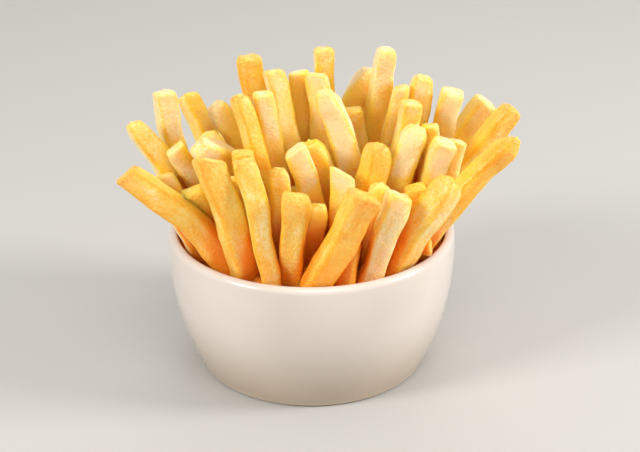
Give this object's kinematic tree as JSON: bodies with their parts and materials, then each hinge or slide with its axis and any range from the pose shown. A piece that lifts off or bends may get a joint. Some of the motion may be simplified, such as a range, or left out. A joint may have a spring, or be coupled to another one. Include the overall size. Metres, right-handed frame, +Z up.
{
  "type": "french fries portion in a bowl",
  "caption": "Portion of thick straight-cut french fries standing in a round cream-white glazed bowl, fanned out over its rim and resting on the bowl's flat foot.",
  "frame": {"origin": "centre of the bowl's flat foot, on the surface it stands on", "axes": "+Z up along the bowl's axis, -Y towards the front of the heap, +X to its right"},
  "size_m": [0.147, 0.1141, 0.1214],
  "materials": {
    "glaze": "glossy cream-white glaze",
    "potato": "golden fried potato with a thin crisp skin, soft oily sheen"
  },
  "bodies": {
    "root": {"bowl": "glaze", "fries": "potato"}
  },
  "joints": []
}
